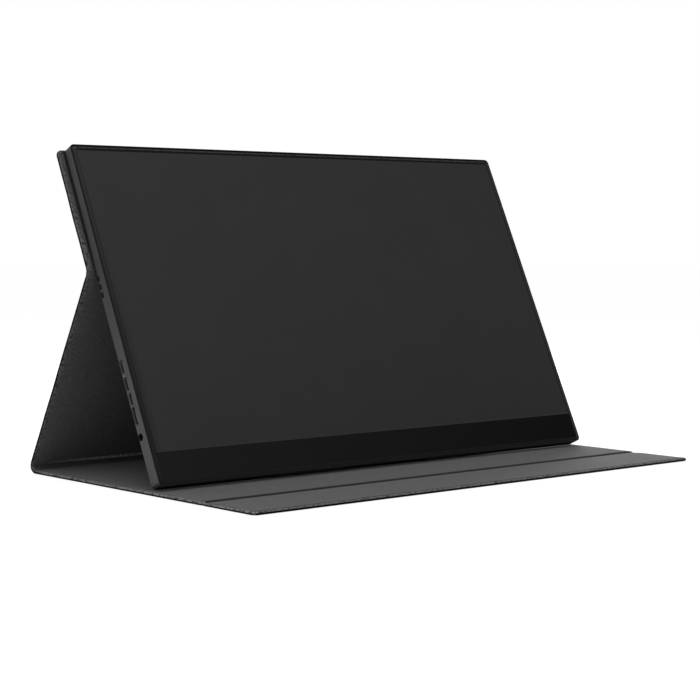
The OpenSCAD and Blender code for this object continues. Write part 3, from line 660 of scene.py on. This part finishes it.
# Boards: green solder mask over fine copper tracks, with moulded chips, amber film flexes,
# flat white ribbons with printed lines, and red speaker leads.
mask = Finish("solder_mask_finish", specular=0.5)
tracks = mask.add("ShaderNodeTexBrick")
link(mask.tree, mask.stretched((1, 1, 1), turn=(TILT + math.pi / 2, 0, 0)), tracks.inputs["Vector"])
mask.set(tracks, Scale=260, **{"Mortar Size": 0.09, "Brick Width": 1.7, "Row Height": 0.3})
tracks.inputs["Color1"].default_value = (0.02, 0.1, 0.055, 1)
tracks.inputs["Color2"].default_value = (0.024, 0.115, 0.062, 1)
tracks.inputs["Mortar"].default_value = (0.05, 0.2, 0.1, 1)
mask.colour(tracks.outputs["Color"])
mask.roughness(mask.between(mask.grain(400), 0.28, 0.42))
mask.relief(tracks.outputs["Fac"], 0.00003, 0.5)
for name in ("driver_board", "main_board", "button_board"):
    dress(name, mask.material, 0.05)

chip = Finish("moulded_chip_finish", specular=0.35)
chip.colour(chip.tones(chip.grain(900), (0.3, 0.014), (0.7, 0.024)))
chip.roughness(chip.between(chip.grain(500), 0.45, 0.6))
dress("board_chips", chip.material, 0.12)


def lined_film(name, ground, ink, pitch, rough):
    """A thin film with fine printed lines along its length."""
    film = Finish(name, specular=0.45)
    along, _, _ = casing_mm(film)
    beat = film.math("FRACT", film.math("MULTIPLY", along, 1 / pitch), 0)
    line = film.between(film.off(beat, 0.5), 1, 0, 0.2, 0.26)
    film.colour(film.mixed(line, ground, ink))
    film.roughness(film.between(film.grain(500), rough, rough * 1.4))
    return film.material


dress("film_flexes", lined_film("amber_film_finish", (0.42, 0.2, 0.035), (0.55, 0.25, 0.06), 0.8, 0.28))
ribbon = lined_film("ribbon_finish", (0.6, 0.59, 0.56), (0.42, 0.41, 0.4), 1.0, 0.4)
dress("display_ribbon", ribbon)
dress("button_ribbon", ribbon)

lead = Finish("lead_red_finish", specular=0.35)
lead.colour(lead.tones(lead.grain(500), (0.3, (0.3, 0.02, 0.02)), (0.7, (0.4, 0.035, 0.035))))
lead.roughness(lead.between(lead.grain(700), 0.4, 0.55))
dress("speaker_leads", lead.material, 0.25)


# Speakers, status light and magnets: moulded black drivers with a paper cone, a milky light
# pipe beside the ports, and nickel-plated bars that hold the cover.
for name in ("left_speaker", "right_speaker"):
    dress(name, moulded.material, 0.2)

pipe = Finish("light_pipe_finish", specular=0.5, Transmission_Weight=0.3)
pipe.colour(pipe.tones(pipe.grain(900), (0.3, (0.6, 0.66, 0.7)), (0.7, (0.7, 0.76, 0.8))))
pipe.roughness(pipe.between(pipe.grain(600), 0.3, 0.45))
dress("status_light", pipe.material, 0.08)

nickel = Finish("nickel_finish", metal=1.0)
nickel.colour(nickel.tones(nickel.grain(300, 3), (0.3, 0.42), (0.7, 0.55)))
nickel.roughness(nickel.between(nickel.grain(800), 0.16, 0.3))
for name in ("shell_magnets", "upper_magnets", "flap_magnets"):
    dress(name, nickel.material, 0.2)


# Foot strips: two rubber bars let into the lower side, so that the monitor grips the
# cover's lining. They carry a fine rib from the mould.
rubber = Finish("foot_rubber_finish", specular=0.2)
rubber.colour(rubber.tones(rubber.grain(1200), (0.3, 0.011), (0.7, 0.017)))
rubber.roughness(rubber.between(rubber.grain(500), 0.75, 0.88))
rubber.relief(rubber.grain(3000), 0.00003, 0.5)
dress("foot_strips", rubber.material, 0.3)


# Cover: two sheets of pressed imitation leather and microfibre on stiff boards, with soft
# zones that fold. The leather wraps the edges and turns in under the lining's cut edge.
HALF_W = 181.5
COVER_R = 4
HALF_T = 1.1
HIDE_T, LINING_T = 0.42, 0.3
BOARD_INSET, BOARD_LEVEL = 3, 0.4
COLUMNS = 60
FLAP, BASE, LEG, UPPER = 47.5, 184.7, 144, 81.5
REAR_R, MIDDLE_R = 3.6, 7
REAR_SOFT, MIDDLE_SOFT = 6, 4.2
rear = Vector((joint_at["rear_fold"].y, joint_at["rear_fold"].z)) * 1000
middle = Vector((joint_at["middle_fold"].y, joint_at["middle_fold"].z)) * 1000
leg_way = (middle - rear).normalized()
upper_way = Vector((math.sin(TILT), math.cos(TILT)))
upper_out = Vector((math.cos(TILT), -math.sin(TILT)))
FOLD_DROP = 0.3
overrun = FOLD_DROP / -leg_way.dot(upper_out)
middle_corner = middle + leg_way * overrun
upper_start = (middle_corner - (middle - upper_out * FOLD_DROP)).dot(upper_way)
corners = [
    Vector((rear.x - BASE - FLAP, rear.y)), rear, middle_corner,
    middle_corner + upper_way * (UPPER - upper_start),
]
CREASE_T = FLAP
REAR_T = FLAP + BASE
MIDDLE_T = REAR_T + LEG + overrun
TOP_T = MIDDLE_T + UPPER - upper_start
RIDGE_T = REAR_T + 4.6
marks = [0, REAR_T, MIDDLE_T, TOP_T]


def turned(way):
    """A direction turned a quarter to the cover's inner side."""
    return Vector((-way.y, way.x))


def cover_line(t):
    """The cover's middle line, as Y and Z, and its direction, t mm from the flap's edge."""
    for i, radius in ((1, REAR_R), (2, MIDDLE_R)):
        before = (corners[i] - corners[i - 1]).normalized()
        after = (corners[i + 1] - corners[i]).normalized()
        turn = math.atan2(before.x * after.y - before.y * after.x, before.dot(after))
        reach = radius * math.tan(abs(turn) / 2)
        if abs(t - marks[i]) < reach:
            share = (t - marks[i] + reach) / (2 * reach)
            side = math.copysign(radius, turn)
            begin = corners[i] - before * reach
            centre = begin + turned(before) * side
            spin = Matrix.Rotation(turn * share, 2)
            return centre + spin @ (begin - centre), spin @ before
    i = 0 if t < REAR_T else 1 if t < MIDDLE_T else 2
    way = (corners[i + 1] - corners[i]).normalized()
    return corners[i] + way * (t - marks[i]), way


def step(a, b, value):
    share = min(max((value - a) / (b - a), 0), 1)
    return share * share * (3 - 2 * share)


def near(t, at, flat, fade):
    """1 within flat of a place along the cover, fading to 0 over fade."""
    return 1 - step(flat, flat + fade, abs(t - at))


def ridge(t, at, width):
    """A smooth ridge of height 1 at a place along the cover."""
    return math.exp(-((t - at) / width) ** 2)


def inner_height(x, t):
    """Height of the lining over the middle line: dips at the folds and ridges beside them."""
    ripple = noise.noise(Vector((x / 31, t / 23, 3.1))) * 0.07
    height = HALF_T + ripple
    height -= 0.45 * near(t, REAR_T, REAR_SOFT - 1.2, 1.6)
    height += 0.6 * ridge(t, RIDGE_T, 0.9)
    height += 0.2 * ridge(t, REAR_T - REAR_SOFT - 0.9, 0.9)
    if t < CREASE_T:
        height -= 0.25 * step(2, 10, t) + 0.5 * step(CREASE_T - 9, CREASE_T - 0.5, t)
    else:
        height -= 0.75 * (1 - step(CREASE_T + 0.2, CREASE_T + 1.1, t))
    height += 0.15 * ridge(t, CREASE_T + 2, 0.8)
    height -= 0.3 * near(t, MIDDLE_T, MIDDLE_SOFT - 1, 1.4)
    return height


def outer_height(x, t):
    """Depth of the leather under the middle line."""
    height = HALF_T - 0.35 * near(t, REAR_T, REAR_SOFT - 1, 1.6)
    soft = near(t, MIDDLE_T, MIDDLE_SOFT - 1, 1.6)
    crumple = noise.noise(Vector((x / 5 + t / 4, t / 2.2, 0))) * 0.3
    height -= soft * (0.3 + crumple)
    height -= 0.25 * near(t, CREASE_T, 0.6, 0.9)
    if t > REAR_T + 8:
        height += noise.noise(Vector((x / 37, t / 29, 8.7))) * 0.08
    return height


def cover_point(x, t, level):
    """A point of the cover; level runs from -1, the leather side, to 1, the lining side."""
    spot, way = cover_line(t)
    height = level * (inner_height(x, t) if level > 0 else outer_height(x, t))
    spot = spot + turned(way) * height
    return Vector((x, spot.x, spot.y)) / 1000


def rows_between(t0, t1):
    """Rows along the cover, close together at the folds."""
    rows = {round(t0, 3), round(t1, 3)}
    t = t0
    while t < t1:
        gap = min(abs(t - mark) for mark in (CREASE_T, REAR_T, MIDDLE_T))
        pace = 0.45 if gap < 4.5 else 0.6 if gap < 10 else 1.5 if gap < 14 else 5
        t += pace
        if t < t1 - pace / 2:
            rows.add(round(t, 3))
    return sorted(rows)


def cover_sheet(name, t0, t1, rings, level, material, free_start=False, free_end=False):
    """One sheet of the cover from t0 to t1. Each ring has its distance from the outline and
    its level; the last one is filled in with a grid at the given level. Every corner keeps
    its level, which the leather's finish reads."""
    bm = bmesh.new()
    height = bm.verts.layers.float.new("level")
    flat = bm.loops.layers.uv.new("flat")
    inset = rings[-1][0]
    rows = rows_between(t0 + (inset if free_start else 0), t1 - (inset if free_end else 0))
    if free_end:
        rows.reverse()
    end = t0 if free_start else t1
    inward = 1 if free_start else -1
    half = HALF_W - inset
    columns = [half - 2 * half * i / COLUMNS for i in range(COLUMNS + 1)]
    spots = {}
    places = {}

    def corner(x, t, z):
        key = (round(x, 3), round(t, 3), round(z, 4))
        if key not in spots:
            wander = noise.noise(Vector((t / 17, x / 11, 5))) * 0.16 * step(HALF_W - 5, HALF_W, abs(x))
            vert = bm.verts.new(cover_point(x + wander * math.copysign(1, x), t, z))
            vert[height] = z
            places[vert] = (x, t)
            spots[key] = vert
        return spots[key]

    def patch(*face):
        unique = list(dict.fromkeys(face))
        if len(unique) > 2:
            for loop in bm.faces.new(unique).loops:
                x, t = places[loop.vert]
                loop[flat].uv = (x / 100, t / 100)

    def ring(distance, z):
        """The outline at that distance, from the seam round the free end and back."""
        side = HALF_W - distance
        sides = [[corner(s * side, t, z) for t in rows] for s in (1, -1)]
        if not (free_start or free_end):
            return sides
        round_r = max(COVER_R - distance, 0)
        arcs = []
        for s in (1, -1):
            arc = []
            for i in range(9):
                a = math.pi / 2 * i / 8
                deep = distance + round_r * (1 - math.sin(a))
                arc.append(corner(s * (side - round_r * (1 - math.cos(a))), end + inward * deep, z))
            arcs.append(arc)
        front = [corner(x, end + inward * distance, z) for x in columns]
        return [sides[0][::-1] + arcs[0] + front + arcs[1][::-1] + sides[1]]

    loops = [ring(*r) for r in rings]
    for a, b in zip(loops, loops[1:]):
        for row_a, row_b in zip(a, b):
            for i in range(len(row_a) - 1):
                patch(row_a[i], row_a[i + 1], row_b[i + 1], row_b[i])

    grid = [[corner(x, t, level) for x in columns] for t in rows]
    for a, b in zip(grid, grid[1:]):
        for i in range(len(a) - 1):
            patch(a[i], a[i + 1], b[i + 1], b[i])
    middle_row = grid[len(grid) // 2]
    centre = COLUMNS // 2
    probe = next(f for f in middle_row[centre].link_faces if middle_row[centre + 1] in f.verts)
    bmesh.ops.recalc_face_normals(bm, faces=bm.faces)
    x, t = places[probe.verts[0]]
    if probe.normal.dot(cover_point(x, t, level) - cover_point(x, t, 0)) < 0:
        bmesh.ops.reverse_faces(bm, faces=bm.faces)
    return settle(name, bm, None, material, smooth=50)


def cover_mm(finish):
    """Places on the cover, in mm: across, and along it from the flap's free edge."""
    spot = finish.add("ShaderNodeSeparateXYZ")
    link(finish.tree, finish.place, spot.inputs[0])
    return [finish.math("MULTIPLY", spot.outputs[i], 100) for i in (0, 1)]


leather = Finish("pebbled_leather", specular=0.06, space="UV")
pebbles = leather.cells(66, "F1")
fine = leather.grain(230, 3)
crown = leather.tones(pebbles, (0.15, (0.16, 0.16, 0.161)), (0.6, (0.032, 0.032, 0.0325)))
worn = leather.tones(
    leather.grain(55, 3), (0.4, (0.032, 0.032, 0.0325)), (0.62, (0.2, 0.2, 0.201))
)
hide_tone = leather.mixed(leather.between(fine, 0.1, 0.6), crown, worn)
hide_x, hide_t = cover_mm(leather)
off_centre = leather.off(hide_x)
upright = leather.between(hide_t, 0, 1, REAR_T - 18, REAR_T - 6)
# Away from the edges the grain is quieter. The hem is paler, with specks of worn grain, and part of
# that paleness is a painted highlight, weaker on the upright leg and upper panel.
broad = leather.times(
    leather.between(off_centre, 0.6, 0, HALF_W - 13.5, HALF_W - 4.5),
    leather.between(hide_t, 0, 1, 3, 10),
)
hide_tone = leather.mixed(broad, hide_tone, (0.07, 0.07, 0.0706))
hem_wear_and_highlight = leather.times(
    leather.most(
        leather.between(off_centre, 0, 1, HALF_W - 3.3, HALF_W - 2.5),
        leather.between(hide_t, 0.5, 0, 1.4, 2.4),
    ),
    leather.between(leather.grain(46, 4, 0.7), 0.05, 1, 0.44, 0.54),
    leather.between(upright, 1, 0.36, 0, 1),
)
hide_tone = leather.mixed(hem_wear_and_highlight, hide_tone, (0.3, 0.3, 0.303))
level = leather.add("ShaderNodeAttribute")
level.attribute_name = "level"
# The cut edge below this line is inked black, and the black also stands in for shade on the turned
# edge, reaching higher on the upright leg and upper panel; level is 1 at the lining and -1 outside.
top_line = leather.math(
    "ADD", leather.between(upright, 0.12, 0.68, 0, 1), leather.between(hide_t, 0.2, 0, 1, 2)
)
ink = leather.times(
    leather.between(leather.math("SUBTRACT", top_line, level.outputs["Fac"]), 0, 1, 0, 0.12),
    leather.most(
        leather.between(off_centre, 0, 1, HALF_W - 1.2, HALF_W - 0.8),
        leather.between(hide_t, 1, 0, 0.8, 1.2),
    ),
)
leather.colour(leather.mixed(ink, hide_tone, 0.0022))
leather.roughness(leather.between(pebbles, 0.5, 0.75, 0.2, 0.8))
leather.relief(pebbles, 0.0004, 0.7)
leather.relief(fine, 0.0001, 0.4)

felt = Finish("brushed_lining", specular=0.12, space="UV")
felt.set(felt.shader, **{"Sheen Weight": 0.2, "Sheen Roughness": 0.5})
fibre = felt.grain(520, 4, 0.7)
cloud = felt.grain(9, 3)
nap = felt.cells(75, "F1")
felt_tone = felt.mixed(
    cloud,
    felt.tones(fibre, (0.32, (0.086, 0.086, 0.087)), (0.68, (0.122, 0.122, 0.124))),
    felt.tones(nap, (0.1, (0.135, 0.135, 0.136)), (0.7, (0.07, 0.07, 0.071))),
)
felt_x, felt_t = cover_mm(felt)
off_middle = felt.off(felt_x)
# Painted shade darkens the nap near the rear fold, a painted highlight runs along the ridge, painted
# light makes the leg and the flap a little paler, and painted shade draws a dark line in the crease;
# lint lies along the edges.
painted_fold_shade = felt.times(
    felt.tones(
        felt.between(felt_t, 0, 1, REAR_T - 90, REAR_T - 3),
        (0, 0.0), (0.5, 0.18), (0.85, 0.36), (0.95, 0.5), (1, 0.3),
    ),
    felt.between(felt_t, 1, 0, RIDGE_T - 1, RIDGE_T),
)
felt_tone = felt.mixed(painted_fold_shade, felt_tone, 0.0)
# Painted highlight along the ridge at the foot of the leg, fading towards the sides.
painted_ridge_highlight = felt.times(
    felt.between(felt.off(felt_t, RIDGE_T + 1.2), 1, 0, 1.1, 1.7),
    felt.between(felt.grain(95, 3, 0.65), 0.05, 1, 0.42, 0.6),
    felt.between(off_middle, 1, 0, 128, 172),
)
felt_tone = felt.mixed(painted_ridge_highlight, felt_tone, 0.85)
# Painted light: the lining is a little paler on the lower part of the leg and on the flap.
painted_light_leg_flap = felt.most(
    felt.times(
        felt.between(felt_t, 0, 1, RIDGE_T, RIDGE_T + 4),
        felt.between(felt_t, 0.09, 0, REAR_T + 12, REAR_T + 95),
    ),
    felt.between(felt_t, 0.05, 0, CREASE_T - 1.5, CREASE_T + 0.5),
)
felt_tone = felt.mixed(painted_light_leg_flap, felt_tone, (0.35, 0.35, 0.352))
lint = felt.times(
    felt.between(off_middle, 0, 1, 166, 178),
    felt.between(felt.grain(70, 4, 0.75), 0, 0.55, 0.56, 0.66),
)
felt_tone = felt.mixed(lint, felt_tone, 0.3)
# Painted shade: a dark line in the crease between the flap and the base.
painted_crease_shade = felt.between(felt.off(felt_t, CREASE_T + 1.4), 0.95, 0, 1.5, 2.1)
felt.colour(felt.mixed(painted_crease_shade, felt_tone, 0.012))
felt.roughness(felt.between(cloud, 0.82, 0.95))
felt.relief(fibre, 0.0001, 0.5)
felt.relief(nap, 0.00016, 0.4)

LEATHER_RINGS = [
    (4.4, 0.7), (3.3, 0.84), (2.2, 0.87), (1.1, 0.88), (0.6, 0.8), (0.25, 0.58), (0.03, 0.2),
    (0, -0.02), (0.06, -0.4), (0.25, -0.7), (0.6, -0.9), (1.1, -1), (3, -1), (6, -1),
]
LINING_RINGS = [(3, 0.72), (3, 0.93), (3.1, 1), (3.5, 1.03), (4.2, 1.0), (6, 1)]

SEAM_BASE = REAR_T - 96
SEAM_LEG = REAR_T + 74


def cover_part(name, t0, t1, bodies, bend, replaced, **free):
    """Leather and lining of one stretch of the cover, each given its thickness; the imported sheets it
    replaces are hidden. bodies and bend are not used.
    """
    hide = cover_sheet(name + "_leather", t0, t1, LEATHER_RINGS, -1, leather.material, **free)
    lining = cover_sheet(name + "_lining", t0, t1, LINING_RINGS, 1, felt.material, **free)
    sheets = ((hide, "cover_leather", "skin", HIDE_T), (lining, "cover_lining", "lining", LINING_T))
    for sheet, slot_name, kind, thickness in sheets:
        thick = sheet.modifiers.new("thickness", "SOLIDIFY")
        thick.thickness = thickness / 1000
        thick.offset = -1
        thick.use_rim = False
        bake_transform(sheet)
        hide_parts(*[f"{part}_{kind}" for part in replaced])


def bend_ends(spot, way, reach):
    """Two points in the part's frame, on both sides of a fold's middle."""
    return [tuple(Vector((0, *(spot + way * d))) / 1000) for d in (-reach, reach)]


grey_board = Finish("grey_board_finish", specular=0.15)
pulp = grey_board.grain(320, 5, 0.7)
grey_board.colour(grey_board.tones(pulp, (0.3, (0.24, 0.21, 0.16)), (0.7, (0.34, 0.3, 0.23))))
grey_board.roughness(grey_board.between(pulp, 0.85, 0.95))
grey_board.relief(pulp, 0.00008, 0.5)


def stiff_board(name, t0, t1, body):
    """A board cut square from sheet, between the leather and the lining."""
    bm = bmesh.new()
    count = math.ceil((t1 - t0) / 6)
    rows = [t0 + (t1 - t0) * i / count for i in range(count + 1)]
    columns = [(HALF_W - BOARD_INSET) * (i / 20 - 1) for i in range(41)]
    faces = []
    for level in (-BOARD_LEVEL, BOARD_LEVEL):
        grid = [[bm.verts.new(cover_point(x, t, level)) for x in columns] for t in rows]
        for a, b in zip(grid, grid[1:]):
            join_rings(bm, a, b, closed=False)
        ends = [row[-1] for row in grid[1:-1]], [row[0] for row in grid[-2:0:-1]]
        faces.append(grid[0] + ends[0] + grid[-1][::-1] + ends[1])
    join_rings(bm, *faces)
    bmesh.ops.recalc_face_normals(bm, faces=bm.faces)
    board = settle(name, bm, body, grey_board.material, smooth=30)
    edge = board.modifiers.new("bevel", "BEVEL")
    edge.width = 0.0001
    edge.limit_method = "ANGLE"
    edge.angle_limit = math.radians(50)
    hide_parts(name.replace("stiff_", "") + "_board")


stiff_board("stiff_flap", 3, CREASE_T - 3, "flap")
stiff_board("stiff_base", CREASE_T + 2.6, REAR_T - 6.5, "base")
stiff_board("stiff_leg", REAR_T + 6.5, MIDDLE_T - 4.5, "leg")
stiff_board("stiff_upper", MIDDLE_T + 4.5, TOP_T - 3, "monitor")

crease_spot, _ = cover_line(CREASE_T)
cover_part(
    "flap_cover", 0, SEAM_BASE, ("base", "flap"), bend_ends(crease_spot, Vector((-1, 0)), 1.9),
    ("flap",), free_start=True,
)
cover_part(
    "rear_cover", SEAM_BASE, SEAM_LEG, ("base", "leg"), bend_ends(*cover_line(REAR_T), 0.5),
    ("base", "leg"),
)
cover_part(
    "upper_cover", SEAM_LEG, TOP_T, ("leg", "monitor"), bend_ends(*cover_line(MIDDLE_T), 1.2),
    ("upper",), free_end=True,
)
